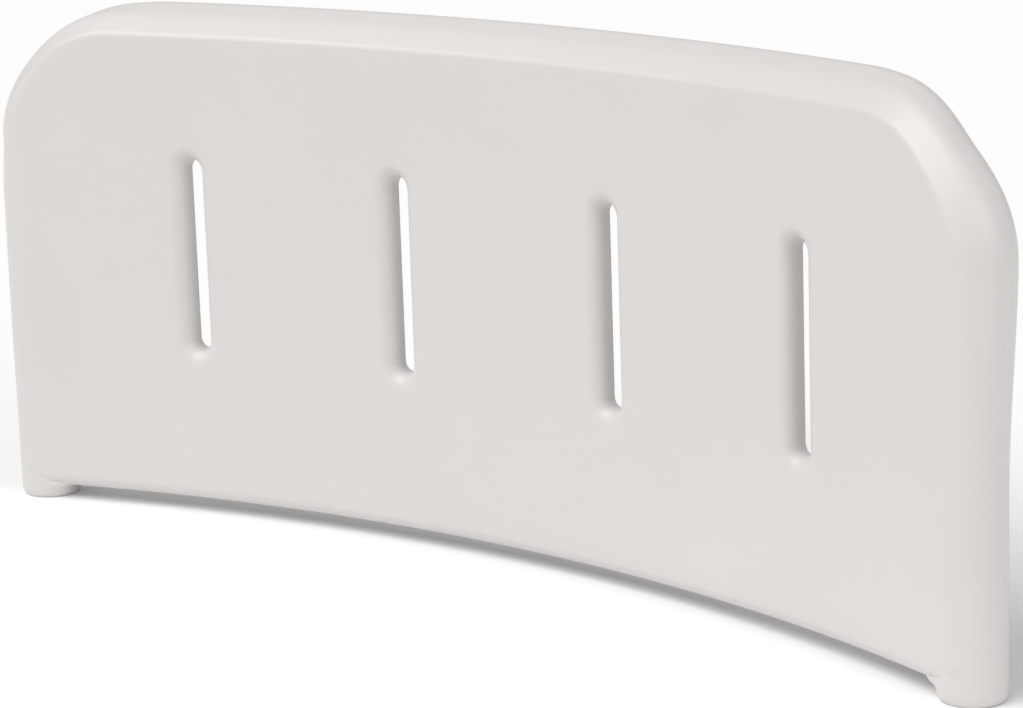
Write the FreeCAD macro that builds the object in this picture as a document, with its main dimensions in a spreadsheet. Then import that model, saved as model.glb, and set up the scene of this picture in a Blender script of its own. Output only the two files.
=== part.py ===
import FreeCAD, Part
import math
import os

import Sketcher
from FreeCAD import Vector

# Curved backrest panel of a bath transfer bench.
#
# A hollow moulded panel, concave towards the user, with a thick rolled rim
# over the top and down both ends, four drain slots and two round sleeves that
# slide down over the bench's two upright posts.
#
# Frame: +Z up, -Y towards the user, so +X is the user's left.  The origin is
# on the plane of the sleeves' mouths, in the middle of the panel's box.

os.makedirs("parts", exist_ok=True)
doc = FreeCAD.newDocument("backrest")

# ------------------------------------------------------------ sizes, millimetres
SIZES = [
    ("face_radius", 726.0, "plan radius of the face the back leans on"),
    ("half_arc", 266.6, "from the middle to the outer end, along the face"),
    ("panel_height", 223.0, "bottom edge to top edge"),
    ("sleeve_drop", 6.0, "how far the sleeves stand below the bottom edge"),
    ("rim_depth", 30.8, "front to back through the rolled rim, over the top"),
    ("end_depth", 26.7, "front to back through the rim, low down at the ends"),
    ("taper_low", 75.0, "height where the ends start to thicken"),
    ("taper_high", 162.0, "height where they reach the full depth"),
    ("field_depth", 19.0, "front to back through the field inside the rim"),
    ("rim_width", 30.0, "width of the rolled rim seen from behind"),
    ("corner_run", 79.0, "top corner, along the arc"),
    ("corner_rise", 72.6, "top corner, along the height"),
    ("edge_round", 12.0, "round of the rim's front and back edges"),
    ("foot_round", 6.0, "round of the bottom edge"),
    ("mouth_round", 2.0, "round of a sleeve's mouth"),
    ("wall", 2.4, "wall of the moulded shells"),
    ("seam_inset", 21.5, "seam of the rear cover, from the panel's outline"),
    ("seam_gap", 0.15, "gap all round the rear cover"),
    ("foot_inset", 7.0, "seam of the rear cover above the bottom edge"),
    ("slot_inner", 57.3, "arc from the middle to an inner slot"),
    ("slot_outer", 165.8, "arc from the middle to an outer slot"),
    ("slot_turn", 0.5, "share of the face's turn that a slot's axis takes, 0 to 1"),
    ("slot_low", 75.0, "bottom of the slot's throat"),
    ("slot_high", 160.3, "top of the slot's throat"),
    ("throat", 8.7, "width of the slot's throat"),
    ("pinch_depth", 9.4, "where the front and rear funnels meet"),
    ("funnel_round", 7.0, "round from the face into the throat"),
    ("rear_flare", 10.5, "how far the slot opens on each side towards the back"),
    ("rear_round", 4.0, "round from the rear flare onto the back"),
    ("column_radius", 13.35, "outside of the sleeve"),
    ("tube_radius", 11.1, "outside of the socket tube, 7/8 in"),
    ("tube_wall", 1.4, "wall of the socket tube"),
    ("press_gap", 0.05, "gap round the socket tube in its sleeve"),
    ("ring_low", 0.8, "underside of the mouth ring"),
    ("ring_high", 9.0, "top of the mouth ring, where the tube starts"),
    ("tube_top", 134.0, "top end of the socket tube"),
    ("plug_flange", 5.0, "flange of the stop plug, on the tube's end"),
    ("plug_dish", 1.0, "hollow under the flange, clear of the tube's bore"),
    ("plug_stem", 9.0, "stem of the stop plug, up to the sleeve's ceiling"),
    ("plug_stem_radius", 6.0, "radius of that stem"),
    ("sleeve_ceiling", 3.0, "solid cap over the sleeve's bore"),
    ("tube_screw_height", 60.0, "screw that fixes the socket tube"),
    ("rail_radius", 8.0, "outside of the stiffening rail"),
    ("rail_wall", 1.2, "wall of the stiffening rail"),
    ("rail_depth", 15.4, "rail's centre behind the face"),
    ("rail_drop", 15.4, "rail's centre below the top edge"),
    ("rail_half_arc", 178.0, "half the length of the rail, along the face"),
    ("clip_arc", 146.0, "arc from the middle to an outer clip"),
    ("clip_band", 2.4, "thickness of the clip's ring and tab"),
    ("clip_width", 12.0, "width of a clip along the rail"),
    ("clip_tab_depth", 8.0, "front of the clip's tab, behind the face"),
    ("clip_tab", 25.0, "clip's tab, down from the rail's centre"),
    ("clip_screw_drop", 18.5, "clip screw below the rail's centre"),
    ("clip_gap", 0.1, "gap round the rail in its clip"),
    ("boss_radius", 4.0, "screw posts inside the shell"),
    ("cover_screw_top", 42.0, "upper cover screws below the top edge"),
    ("cover_screw_low", 24.0, "lower cover screws above the bottom edge"),
    ("cover_screw_inner", 112.0, "arc from the middle to the second cover screw"),
    ("cover_screw_outer", 205.0, "arc from the middle to the last cover screw"),
    ("head_radius", 3.2, "screw head"),
    ("head_height", 1.6, "screw head"),
    ("shank_radius", 1.5, "screw shank"),
    ("hole_gap", 0.05, "gap round a screw shank"),
    ("screw_bite", 8.0, "how far a screw goes into its post"),
    ("cap_flange", 2.0, "flange of a rail cap"),
    ("cap_stem", 8.0, "length of a rail cap inside the rail"),
]

sheet = doc.addObject("Spreadsheet::Sheet", "sizes")
for row, (alias, value, note) in enumerate(SIZES, start=1):
    sheet.set(f"A{row}", alias)
    sheet.set(f"B{row}", str(value))
    sheet.set(f"C{row}", note)
    sheet.setAlias(f"B{row}", alias)
doc.recompute()


def size(alias):
    """A driving dimension, read from the sheet."""
    return float(getattr(sheet, alias))


RADIUS = size("face_radius")
HALF_ARC = size("half_arc")
RIM_DEPTH = size("rim_depth")
END_DEPTH = size("end_depth")
FIELD_DEPTH = size("field_depth")
WALL = size("wall")
BASE = size("sleeve_drop")
TOP = BASE + size("panel_height")
COLUMN = size("column_radius")
SLEEVE_ARC = HALF_ARC - COLUMN
PINCH = size("pinch_depth")

# The panel's front is furthest back at the middle and comes forward at the
# ends; the origin is half way between the foremost and the rearmost points.
ROUND = size("edge_round")
ROUND_ANGLE = HALF_ARC / RADIUS - math.asin(ROUND / (RADIUS + ROUND))
FOREMOST = (RADIUS + ROUND) * (math.cos(ROUND_ANGLE) - 1)
FACE_Y = -(FOREMOST + RIM_DEPTH) / 2
AXIS = Vector(0, FACE_Y - RADIUS, 0)
UP = Vector(0, 0, 1)


def swing(shape, arc):
    """Carry a shape built at the middle of the panel to an arc position."""
    moved = shape.copy()
    moved.rotate(AXIS, UP, -math.degrees(arc / RADIUS))
    return moved


def at_depth(depth, height=0.0, across=0.0):
    """A point at the middle of the panel, a depth behind the face."""
    return Vector(across, FACE_Y + depth, height)


# -------------------------------------------------- shapes of the hollow shell
def back_line(trim, low, high):
    """The rim's back in side view: upright, leaning back, then upright again."""
    start = Vector(RADIUS + END_DEPTH - trim, 0, size("taper_low"))
    finish = Vector(RADIUS + RIM_DEPTH - trim, 0, size("taper_high"))
    lean = Part.BSplineCurve()
    lean.interpolate(Points=[start, finish], InitialTangent=UP, FinalTangent=UP)
    foot = Vector(start.x, 0, low)
    head = Vector(finish.x, 0, high)
    return foot, head, [Part.makeLine(foot, start), lean.toShape(), Part.makeLine(finish, head)]


def turned_about_axis(face, half_arc):
    """A flat profile in the plane of the radius, turned about the panel's axis."""
    angle = math.degrees(half_arc / RADIUS)
    face.rotate(Vector(0, 0, 0), UP, 90 - angle)
    face.translate(AXIS)
    return face.revolve(AXIS, UP, 2 * angle)


def sector(near, far, half_arc, low, high):
    """A curved slab between two depths, radial at its ends."""
    corners = [Vector(RADIUS + near, 0, low), Vector(RADIUS + far, 0, low),
               Vector(RADIUS + far, 0, high), Vector(RADIUS + near, 0, high)]
    outline = Part.makePolygon(corners + corners[:1])
    return turned_about_axis(Part.Face(outline), half_arc)


def leaning_sector(trim, half_arc, low, high):
    """The slab of the whole rim, thinner low down than at the top."""
    foot, head, back = back_line(trim, low, high)
    front_foot = Vector(RADIUS + trim, 0, low)
    front_head = Vector(RADIUS + trim, 0, high)
    outline = Part.Wire([Part.makeLine(front_foot, foot), *back,
                         Part.makeLine(head, front_head), Part.makeLine(front_head, front_foot)])
    return turned_about_axis(Part.Face(outline), half_arc)


def corner_cutter(side, half_arc, run, rise, top):
    """What a rounded top corner takes away, with every side wall radial.

    It is ruled between two flat outlines square to the radius through the
    corner's middle, so a point keeps its angle about the panel's axis.
    """
    middle = (half_arc - run / 2) / RADIUS
    overshoot = 15.0
    quarter = [math.radians(10.0 * step) for step in range(10)]
    wires = []
    for reach in (RADIUS - overshoot, RADIUS + RIM_DEPTH + overshoot):
        def place(arc, height):
            across = reach * math.tan(arc / RADIUS - middle)
            return Vector(side * across, reach, height)

        curve = [place(half_arc - run + run * math.sin(a), top - rise + rise * math.cos(a))
                 for a in quarter]
        spline = Part.BSplineCurve()
        level = Vector(side, 0, 0)
        plumb = Vector(0, 0, -1)
        spline.interpolate(Points=curve, InitialTangent=level, FinalTangent=plumb)
        beyond_end = place(half_arc + overshoot, top - rise)
        beyond_both = place(half_arc + overshoot, top + overshoot)
        beyond_top = place(half_arc - run, top + overshoot)
        wires.append(Part.Wire([
            spline.toShape(),
            Part.makeLine(curve[-1], beyond_end),
            Part.makeLine(beyond_end, beyond_both),
            Part.makeLine(beyond_both, beyond_top),
            Part.makeLine(beyond_top, curve[0]),
        ]))
    cutter = Part.makeLoft(wires, True, True)
    cutter.rotate(Vector(0, 0, 0), UP, -side * math.degrees(middle))
    cutter.translate(AXIS)
    return cutter


def cornered(slab, inset):
    """A slab with the panel's two top corners taken off."""
    run = size("corner_run") - inset
    rise = size("corner_rise") - inset
    for side in (-1, 1):
        slab = slab.cut(corner_cutter(side, HALF_ARC - inset, run, rise, TOP - inset))
    return slab


def outlined(near, far, inset, foot):
    """A curved slab with the panel's outline drawn in by inset, above foot."""
    return cornered(sector(near, far, HALF_ARC - inset, foot, TOP - inset), inset)


def along(edge):
    """Three points of an edge, as depths behind the face and heights."""
    first, last = edge.ParameterRange
    points = [edge.valueAt(first + (last - first) * k) for k in (0.0, 0.5, 1.0)]
    depths = [math.hypot(p.x - AXIS.x, p.y - AXIS.y) - RADIUS for p in points]
    return depths, [p.z for p in points]


def edges_at(body, near, far, low, high):
    """Edges that keep within a band of depths and reach into a band of heights."""
    chosen = []
    for edge in body.Edges:
        depths, heights = along(edge)
        if near < min(depths) and max(depths) < far and low < max(heights) < high:
            chosen.append(edge)
    return chosen


def rolled(inset):
    """The panel's full-depth block with rolled edges, every wall inset."""
    foot = BASE + inset
    slab = leaning_sector(inset, HALF_ARC - inset, foot, TOP - inset)
    slab = cornered(slab, inset)
    above = foot + 1
    edges = edges_at(slab, inset - 0.4, inset + 0.4, above, TOP + 1)
    edges += edges_at(slab, END_DEPTH - inset - 0.4, RIM_DEPTH - inset + 0.4, above, TOP + 1)
    return slab.makeFillet(ROUND - inset, edges)


def stadium(half_width, low, high, depth):
    """A flat upright slot outline, square to the radius at the middle."""
    a = at_depth(depth, low + half_width, -half_width)
    b = at_depth(depth, high - half_width, -half_width)
    c = at_depth(depth, high - half_width, half_width)
    d = at_depth(depth, low + half_width, half_width)
    crown = at_depth(depth, high)
    heel = at_depth(depth, low)
    return Part.Wire([
        Part.makeLine(a, b),
        Part.Arc(b, crown, c).toShape(),
        Part.makeLine(c, d),
        Part.Arc(d, heel, a).toShape(),
    ])


def slot_solid(grow_near, grow_far, near, far):
    """A slot's throat, grown by different amounts at two depths."""
    half = size("throat") / 2
    low = size("slot_low")
    high = size("slot_high")
    wires = []
    for grow, depth in ((grow_near, near), (grow_far, far)):
        wires.append(stadium(half + grow, low - grow, high + grow, depth))
    return Part.makeLoft(wires, True, True)


def slot_swung(shape, arc):
    """Carry a slot's shape to its arc, its axis turned part-way with the face."""
    moved = shape.copy()
    turn = math.degrees(arc / RADIUS) * (1 - size("slot_turn"))
    moved.rotate(at_depth(0), UP, turn)
    return swing(moved, arc)


def peg(radius, near, far, height):
    """A round peg along the radius, at the middle of the panel."""
    return Part.makeCylinder(radius, far - near, at_depth(near, height), Vector(0, 1, 0))


BEHIND = FIELD_DEPTH - PINCH
REAR_FLARE = size("rear_flare")
SLOT_ARCS = [sign * size(name) for name in ("slot_inner", "slot_outer") for sign in (-1, 1)]
SIDES = {"left": 1, "right": -1}
CEILING = size("tube_top") + size("plug_flange") + size("plug_stem") + size("sleeve_ceiling")
RAIL_HEIGHT = TOP - size("rail_drop")
CLIP_ARCS = {"left": size("clip_arc"), "centre": 0.0, "right": -size("clip_arc")}
CLIP_SCREW_HEIGHT = RAIL_HEIGHT - size("clip_screw_drop")
COVER_SEAT = FIELD_DEPTH - WALL
POST = size("boss_radius")
PILOT = size("shank_radius") + size("hole_gap")
BITE = size("screw_bite")
COVER_SCREW_ARCS = [sign * size(name)
                    for name in ("cover_screw_inner", "cover_screw_outer") for sign in (-1, 1)]
COVER_SCREWS = [(arc, height)
                for height in (TOP - size("cover_screw_top"), BASE + size("cover_screw_low"))
                for arc in [0.0] + COVER_SCREW_ARCS]
TUBE_SCREW_TIP = COLUMN + size("tube_radius") - size("tube_wall") + size("hole_gap")


def sleeve(side, radius, low, high):
    """A round upright at a sleeve's place."""
    upright = Part.makeCylinder(radius, high - low, at_depth(COLUMN, low), UP)
    return swing(upright, side * SLEEVE_ARC)


def screw_posts(grow):
    """The posts that the cover's screws and the clips' screws go into."""
    posts = []
    for arc, height in COVER_SCREWS:
        posts.append(swing(peg(POST + grow, WALL / 2, COVER_SEAT, height), arc))
    for arc in CLIP_ARCS.values():
        near = peg(POST + grow, WALL / 2, size("clip_tab_depth"), CLIP_SCREW_HEIGHT)
        posts.append(swing(near, arc))
    return posts


def cover_zone(gap):
    """Where the rear cover lies: behind the pinch plane, inside the seam."""
    inset = size("seam_inset") + gap
    foot = BASE + size("foot_inset") + gap
    zone = outlined(PINCH + gap, RIM_DEPTH + 5, inset, foot)
    for side in SIDES.values():
        zone = zone.cut(sleeve(side, COLUMN + 0.1 + gap, 0, CEILING + 0.1 + gap))
    return zone.cut(Part.makeCompound(screw_posts(gap)))


# ----------------------------------------------------------- the hollow panel
# The moulding's outside, its four slots rounded at both faces.
outer = rolled(0.0)
outer = outer.makeFillet(size("foot_round"), edges_at(outer, -0.4, 0.4, BASE - 1, BASE + 1))
recess = outlined(FIELD_DEPTH, RIM_DEPTH + 5, size("rim_width"), BASE - 5)
outer = outer.cut(recess)
for arc in SLOT_ARCS:
    outer = outer.cut(slot_swung(slot_solid(0, 0, -3, PINCH + 1), arc))
    outer = outer.cut(slot_swung(slot_solid(0, REAR_FLARE * (BEHIND + 3) / BEHIND, PINCH, FIELD_DEPTH + 3), arc))
slot_band = (size("slot_low") - 2 * REAR_FLARE, size("slot_high") + 2 * REAR_FLARE)
mouths = edges_at(outer, -0.4, 0.4, *slot_band)
outer = outer.makeFillet(size("funnel_round"), mouths)
rear_mouths = edges_at(outer, FIELD_DEPTH - 0.4, FIELD_DEPTH + 0.4, *slot_band)
outer = outer.makeFillet(size("rear_round"), rear_mouths)

# The hollow inside it, less what stays solid: posts, sleeves and funnels.
cavity = rolled(WALL)
inner_recess = outlined(COVER_SEAT, RIM_DEPTH + 5, size("rim_width") - WALL, BASE - 5)
cavity = cavity.cut(inner_recess)
solid_inside = screw_posts(0.0)
for side in SIDES.values():
    solid_inside.append(sleeve(side, COLUMN, 0, CEILING))
flare = size("funnel_round") + WALL / 2
slant = WALL * math.hypot(REAR_FLARE, BEHIND) / BEHIND
for arc in SLOT_ARCS:
    solid_inside.append(slot_swung(slot_solid(flare, WALL, WALL / 2, PINCH), arc))
    solid_inside.append(slot_swung(slot_solid(slant, REAR_FLARE + slant, PINCH, FIELD_DEPTH), arc))
for lump in solid_inside:
    cavity = cavity.cut(lump)

# The hollow moulding, its sleeves bored and its screw holes drilled.
panel = outer
for side in SIDES.values():
    stub = sleeve(side, COLUMN, 0, 3 * BASE)
    mouth_edge = [edge for edge in stub.Edges if edge.BoundBox.ZMax < 0.1]
    stub = stub.makeFillet(size("mouth_round"), mouth_edge)
    panel = panel.fuse(stub)
panel = panel.cut(cavity)
for side in SIDES.values():
    bore = sleeve(side, size("tube_radius") + size("press_gap"), -1, CEILING - size("sleeve_ceiling"))
    panel = panel.cut(bore)
    pilot = peg(PILOT, COLUMN + size("tube_radius"), END_DEPTH + 1, size("tube_screw_height"))
    panel = panel.cut(swing(pilot, side * SLEEVE_ARC))
for arc, height in COVER_SCREWS:
    panel = panel.cut(swing(peg(PILOT, COVER_SEAT - BITE, FIELD_DEPTH + 1, height), arc))
for arc in CLIP_ARCS.values():
    tab = size("clip_tab_depth")
    panel = panel.cut(swing(peg(PILOT, WALL, tab + 1, CLIP_SCREW_HEIGHT), arc))

# The moulding comes apart at the seam into a front shell and a rear cover.
front = doc.addObject("Part::Feature", "front_shell")
front.Shape = panel.cut(cover_zone(0.0))
front.Label = "front_shell"
rear = doc.addObject("Part::Feature", "rear_cover")
rear.Shape = panel.common(cover_zone(size("seam_gap")))
rear.Label = "rear_cover"


# ------------------------------------------------ sketched pieces, tied to the sheet
def total(*terms):
    """A length added up from the sheet, and the same as an expression."""
    value = sum(-size(term[1:]) if term.startswith("-") else size(term) for term in terms)
    words = [f"- sizes.{term[1:]}" if term.startswith("-") else f"+ sizes.{term}" for term in terms]
    return value, "0 " + " ".join(words)


def new_body(label, placement):
    body = doc.addObject("PartDesign::Body", label)
    body.Label = label
    body.Placement = placement
    return body


def origin_plane(body, role):
    return next(f for f in body.Origin.OriginFeatures if f.Role == role)


def new_sketch(body, name, role):
    sketch = body.newObject("Sketcher::SketchObject", name)
    sketch.AttachmentSupport = (origin_plane(body, role), [""])
    sketch.MapMode = "FlatFace"
    return sketch


def bind_point(sketch, geometry, point, across, height):
    """Hold a point at two distances from the sketch's origin."""
    for kind, (value, expression) in (("DistanceX", across), ("DistanceY", height)):
        held = sketch.addConstraint(Sketcher.Constraint(kind, -1, 1, geometry, point, value))
        sketch.setExpression(f"Constraints[{held}]", expression)


def outline_sketch(body, name, role, corners):
    """A closed outline of straight lines through corners held by the sheet."""
    sketch = new_sketch(body, name, role)
    places = [Vector(across[0], height[0], 0) for across, height in corners]
    for index, place in enumerate(places):
        follower = places[(index + 1) % len(places)]
        sketch.addGeometry(Part.LineSegment(place, follower), False)
    for index, (across, height) in enumerate(corners):
        following = (index + 1) % len(corners)
        sketch.addConstraint(Sketcher.Constraint("Coincident", index, 2, following, 1))
        bind_point(sketch, index, 1, across, height)
    return sketch


def circle_sketch(body, name, role, across, height, radii):
    """Circles about one centre."""
    sketch = new_sketch(body, name, role)
    for radius, expression in radii:
        centre = Vector(across[0], height[0], 0)
        circle = sketch.addGeometry(Part.Circle(centre, Vector(0, 0, 1), radius), False)
        bind_point(sketch, circle, 3, across, height)
        held = sketch.addConstraint(Sketcher.Constraint("Radius", circle, radius))
        sketch.setExpression(f"Constraints[{held}]", expression)
    return sketch


def turned(body, name, corners):
    """A piece turned about its own upright axis."""
    profile = outline_sketch(body, name + "_profile", "XZ_Plane", corners)
    turn = body.newObject("PartDesign::Revolution", name + "_turn")
    turn.Profile = profile
    turn.ReferenceAxis = (profile, ["V_Axis"])
    turn.Angle = 360
    return turn


def swung_placement(point, arc, lean=None):
    """Placement of a piece built at the middle, carried to an arc position."""
    spin = FreeCAD.Rotation(UP, -math.degrees(arc / RADIUS))
    away = spin.multVec(point - AXIS)
    turn = spin if lean is None else spin.multiply(lean)
    return FreeCAD.Placement(AXIS + away, turn)


NIL = (0.0, "0")
OUTER = total("tube_radius")
BORE = total("tube_radius", "-tube_wall")

for label, side in SIDES.items():
    upright = swung_placement(at_depth(COLUMN), side * SLEEVE_ARC)

    # Socket tube: aluminium, pushed up the sleeve, with a pilot for its screw.
    tube = new_body(f"socket_tube_{label}", upright)
    low = total("ring_high")
    high = total("tube_top")
    turned(tube, f"tube_{label}", [(BORE, low), (OUTER, low), (OUTER, high), (BORE, high)])
    screw_height = total("tube_screw_height")
    pilot = circle_sketch(tube, f"tube_pilot_{label}", "XZ_Plane", NIL, screw_height,
                          [total("shank_radius", "hole_gap")])
    drilled = tube.newObject("PartDesign::Pocket", f"tube_drilled_{label}")
    drilled.Profile = pilot
    drilled.Type = "ThroughAll"

    # Mouth ring: nylon, keeps the post off the tube's cut end.
    ring = new_body(f"mouth_ring_{label}", upright)
    foot = total("ring_low")
    crest = total("ring_high")
    turned(ring, f"ring_{label}", [(BORE, foot), (OUTER, foot), (OUTER, crest), (BORE, crest)])

    # Stop plug: nylon, sits on the tube's top end and keeps the post out of the hollow panel.
    plug = new_body(f"stop_plug_{label}", upright)
    seat = total("tube_top")
    dish = total("tube_top", "plug_dish")
    lid = total("tube_top", "plug_flange")
    crown = total("tube_top", "plug_flange", "plug_stem")
    stem = total("plug_stem_radius")
    turned(plug, f"plug_{label}",
           [(NIL, dish), (BORE, dish), (BORE, seat), (OUTER, seat), (OUTER, lid), (stem, lid),
            (stem, crown), (NIL, crown)])

# Stiffening rail: a drawn tube rolled to the panel's curve, inside the top rim.
rail = new_body("stiffener_rail", FreeCAD.Placement(AXIS, FreeCAD.Rotation()))
rail_reach = total("face_radius", "rail_depth")
rail_level = total("sleeve_drop", "panel_height", "-rail_drop")
rail_rings = circle_sketch(rail, "rail_section", "YZ_Plane", rail_reach, rail_level,
                           [total("rail_radius"), total("rail_radius", "-rail_wall")])
rolled_rail = rail.newObject("PartDesign::Revolution", "rail_rolled")
rolled_rail.Profile = rail_rings
rolled_rail.ReferenceAxis = (rail_rings, ["V_Axis"])
rolled_rail.Midplane = True
rolled_rail.setExpression("Angle", "2 * sizes.rail_half_arc / sizes.face_radius * 180 / pi")

# Rail caps: moulded plugs in the rail's cut ends.
for label, side in SIDES.items():
    lean = FreeCAD.Rotation(Vector(0, 1, 0), 90 * side)
    cap = new_body(f"rail_cap_{label}",
                   swung_placement(at_depth(size("rail_depth"), RAIL_HEIGHT),
                                   side * size("rail_half_arc"), lean))
    stem = total("rail_radius", "-rail_wall", "-hole_gap")
    rim = total("rail_radius")
    flange = total("cap_flange")
    tip = (-size("cap_stem"), "0 - sizes.cap_stem")
    turned(cap, f"cap_{label}",
           [(NIL, tip), (stem, tip), (stem, NIL), (rim, NIL), (rim, flange), (NIL, flange)])

# Rail clips: a ring round the rail and a tab screwed to a post below it.
for label, arc in CLIP_ARCS.items():
    clip = new_body(f"rail_clip_{label}", swung_placement(at_depth(0, RAIL_HEIGHT), arc))
    centre = total("rail_depth")
    hold = total("rail_radius", "clip_gap")
    band = total("rail_radius", "clip_gap", "clip_band")
    disc = circle_sketch(clip, f"clip_disc_{label}", "YZ_Plane", centre, NIL, [band])
    ring_pad = clip.newObject("PartDesign::Pad", f"clip_ring_{label}")
    ring_pad.Profile = disc
    ring_pad.Midplane = True
    ring_pad.setExpression("Length", "sizes.clip_width")
    front_of_tab = total("clip_tab_depth")
    back_of_tab = total("clip_tab_depth", "clip_band")
    tab_foot = (-size("clip_tab"), "0 - sizes.clip_tab")
    tab = outline_sketch(clip, f"clip_tab_{label}", "YZ_Plane",
                         [(front_of_tab, tab_foot), (back_of_tab, tab_foot),
                          (back_of_tab, NIL), (front_of_tab, NIL)])
    tab_pad = clip.newObject("PartDesign::Pad", f"clip_strip_{label}")
    tab_pad.Profile = tab
    tab_pad.Midplane = True
    tab_pad.setExpression("Length", "sizes.clip_width")
    hollow = circle_sketch(clip, f"clip_bore_{label}", "YZ_Plane", centre, NIL, [hold])
    bored = clip.newObject("PartDesign::Pocket", f"clip_bored_{label}")
    bored.Profile = hollow
    bored.Midplane = True
    bored.Type = "ThroughAll"
    drop = (-size("clip_screw_drop"), "0 - sizes.clip_screw_drop")
    eye = circle_sketch(clip, f"clip_eye_{label}", "XZ_Plane", NIL, drop,
                        [total("shank_radius", "hole_gap")])
    eyelet = clip.newObject("PartDesign::Pocket", f"clip_eyelet_{label}")
    eyelet.Profile = eye
    eyelet.Type = "ThroughAll"


# -------------------------------------------------------------------- screws
def screw(name, length):
    """A pan-head screw, its head's underside at the origin, pointing down."""
    head = total("head_radius")
    crown = total("head_height")
    shank = total("shank_radius")
    tip = (-length, f"0 - {length}")
    body = new_body(name, FreeCAD.Placement())
    turned(body, name, [(NIL, tip), (shank, tip), (shank, NIL), (head, NIL), (head, crown), (NIL, crown)])
    return body


def screw_group(label, pattern, places):
    """Copies of one screw driven in along the radius, as one node."""
    group = doc.addObject("Part::Feature", label)
    facing_back = FreeCAD.Rotation(Vector(1, 0, 0), -90)
    copies = []
    for arc, depth, height in places:
        copy = pattern.Shape.copy()
        copy.Placement = swung_placement(at_depth(depth, height), arc, facing_back)
        copies.append(copy)
    group.Shape = Part.makeCompound(copies)
    group.Label = label
    return group


cover_screw = screw("cover_screw_pattern", WALL + BITE - 1)
clip_screw = screw("clip_screw_pattern", size("clip_tab_depth") + size("clip_band") - 2 * WALL)
tube_screw = screw("tube_screw_pattern", END_DEPTH - TUBE_SCREW_TIP)
doc.recompute()

tab_back = size("clip_tab_depth") + size("clip_band")
screw_group("cover_screws", cover_screw, [(arc, FIELD_DEPTH, height) for arc, height in COVER_SCREWS])
screw_group("clip_screws", clip_screw, [(arc, tab_back, CLIP_SCREW_HEIGHT) for arc in CLIP_ARCS.values()])
screw_group("tube_screws", tube_screw,
            [(side * SLEEVE_ARC, END_DEPTH, size("tube_screw_height")) for side in SIDES.values()])
doc.recompute()

# ------------------------------------------------------------ check and write
PATTERNS = ("cover_screw_pattern", "clip_screw_pattern", "tube_screw_pattern")
for item in doc.Objects:
    if "Invalid" in item.State or "Error" in item.State:
        raise RuntimeError(f"{item.Label} failed: {item.State}")

nodes = [item for item in doc.Objects
         if item.TypeId in ("PartDesign::Body", "Part::Feature") and item.Label not in PATTERNS]
for node in nodes:
    shape = node.Shape
    if shape.isNull() or not shape.isValid() or not shape.Solids:
        raise RuntimeError(f"{node.Label} has no valid shape")
for node in nodes:
    node.Shape.exportStep(f"parts/{node.Label}.step")
    print(f"{node.Label}: {len(node.Shape.Solids)} solid(s), {node.Shape.Volume / 1000:.2f} cm3")
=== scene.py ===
import math

import bmesh
import bpy
from mathutils import Matrix, Vector
from mathutils.geometry import delaunay_2d_cdt


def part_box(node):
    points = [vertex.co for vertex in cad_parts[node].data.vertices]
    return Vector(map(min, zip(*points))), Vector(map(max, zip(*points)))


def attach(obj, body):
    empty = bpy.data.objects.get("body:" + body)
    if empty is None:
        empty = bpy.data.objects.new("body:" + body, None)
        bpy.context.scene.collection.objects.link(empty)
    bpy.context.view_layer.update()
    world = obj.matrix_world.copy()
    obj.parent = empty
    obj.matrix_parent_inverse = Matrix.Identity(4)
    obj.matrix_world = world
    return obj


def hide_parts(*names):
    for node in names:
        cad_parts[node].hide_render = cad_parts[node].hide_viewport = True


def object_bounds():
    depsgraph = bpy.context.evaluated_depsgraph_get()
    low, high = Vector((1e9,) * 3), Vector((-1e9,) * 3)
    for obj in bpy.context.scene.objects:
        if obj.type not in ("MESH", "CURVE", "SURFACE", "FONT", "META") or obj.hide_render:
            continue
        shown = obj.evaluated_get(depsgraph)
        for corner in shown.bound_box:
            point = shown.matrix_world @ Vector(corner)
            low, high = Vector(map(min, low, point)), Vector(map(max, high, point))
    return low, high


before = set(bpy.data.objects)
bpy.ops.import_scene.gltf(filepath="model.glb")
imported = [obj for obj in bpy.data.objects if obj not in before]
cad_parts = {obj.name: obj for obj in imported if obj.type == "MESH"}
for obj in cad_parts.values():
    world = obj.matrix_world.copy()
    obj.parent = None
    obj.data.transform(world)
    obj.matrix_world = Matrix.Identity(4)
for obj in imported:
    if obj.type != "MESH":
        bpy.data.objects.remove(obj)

# The curved backrest of a bath transfer bench, standing on its two sleeves.
# Sizes are in millimetres in the text and in metres in the meshes. Each
# moulding is drawn flat first: along the arc of its face, back from the face
# and up; then it is rolled to the plan radius of the face.
cad_box = [list(corner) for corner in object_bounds()]
MM = 0.001

# ------------------------------------------------------------ front shell
# The front of the hollow moulding: the face the back leans on, the thick
# rolled rim, the front halves of the four slots and the two sleeves. It is
# white plastic, moulded in one piece with a satin skin.
FACE_RADIUS = 726.0
HALF_ARC = 266.6
WALL = 2.2
SLEEVE_RADIUS = 13.35
SLEEVE_DROP = 6.0
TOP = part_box("front_shell")[1][2] / MM
# Depths from the face to the back: rim at the top, rim at the ends, field.
RIM_DEPTH = 30.8
END_DEPTH = 26.7
FIELD_DEPTH = 19.0
THICKEN_LOW, THICKEN_HIGH = 79.5, 164.5
STEP_INSET, STEP_RUN = 29.0, 5.5
# The upper corners: how far and over what length their rear is drawn in, and how
# the crease round the face fades from the top into the ends.
CORNER_RADIUS = 62.5
CORNER_PULL = 12.7
PULL_START, PULL_RISE = 19.5, 70.0
PULL_END, PULL_FALL = 100.5, 61.5
CREASE_LEAD, CREASE_ANGLE, CREASE_SHARE = 25.0, 0.8, 0.25
# The seam between shell and cover.
SEAM_INSET = 21.5
FOOT_SEAM = SLEEVE_DROP + 7.0
FOOT_FINE = 45.0
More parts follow.
